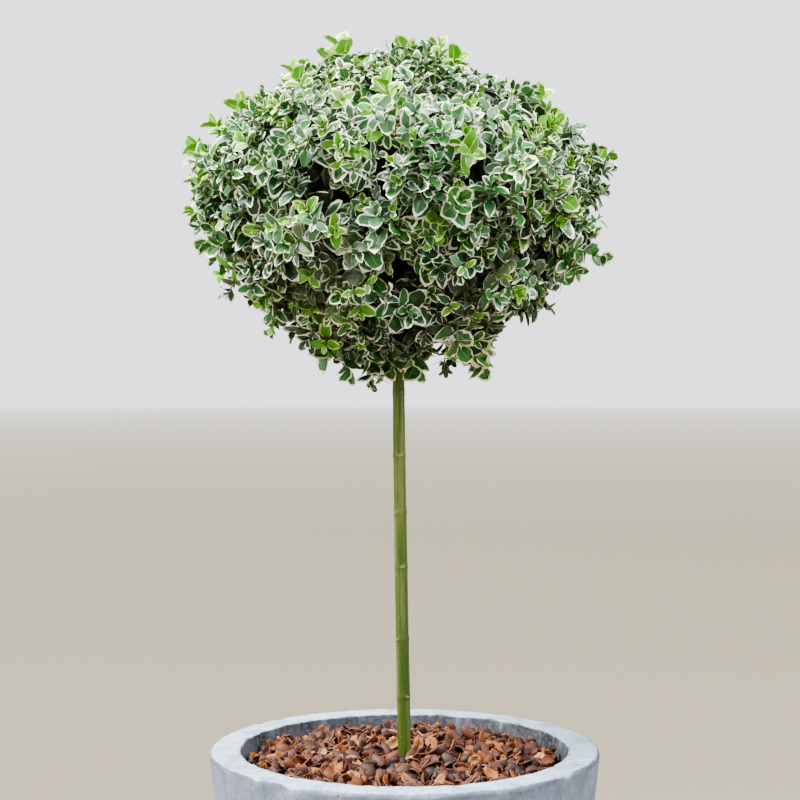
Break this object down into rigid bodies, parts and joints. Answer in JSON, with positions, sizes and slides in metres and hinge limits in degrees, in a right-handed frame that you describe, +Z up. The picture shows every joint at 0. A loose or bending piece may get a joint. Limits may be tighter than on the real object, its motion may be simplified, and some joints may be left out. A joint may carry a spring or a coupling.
{
  "type": "standard lollipop topiary in a planter",
  "caption": "Round-headed standard shrub: a dense crown of small cream-edged leaves on one slim clear stem, in a thick-walled tapered round planter with husk mulch.",
  "frame": {"origin": "centre of the planter's flat underside", "axes": "+Z up, along the stem; -Y is the front"},
  "size_m": [0.4189, 0.4086, 1.0124],
  "materials": {
    "cement": "matt cast cement, pitted",
    "potting_mix": "dull",
    "husk": "dry and dull",
    "stem_bark": "satin green bark",
    "bough_bark": "satin bark",
    "foliage": "glossy leaves"
  },
  "bodies": {
    "root": {"planter": "cement", "potting_soil": "potting_mix", "husk_mulch": "husk", "trunk": "stem_bark", "bough_top": "bough_bark", "bough_upper_1": "bough_bark", "bough_upper_2": "bough_bark", "bough_upper_3": "bough_bark", "bough_upper_4": "bough_bark", "bough_upper_5": "bough_bark", "bough_lower_1": "bough_bark", "bough_lower_2": "bough_bark", "bough_lower_3": "bough_bark", "bough_lower_4": "bough_bark", "bough_lower_5": "bough_bark", "bough_lower_6": "bough_bark", "foliage_top": "foliage", "foliage_upper_1": "foliage", "foliage_upper_2": "foliage", "foliage_upper_3": "foliage", "foliage_upper_4": "foliage", "foliage_upper_5": "foliage", "foliage_lower_1": "foliage", "foliage_lower_2": "foliage", "foliage_lower_3": "foliage", "foliage_lower_4": "foliage", "foliage_lower_5": "foliage", "foliage_lower_6": "foliage"}
  },
  "joints": []
}
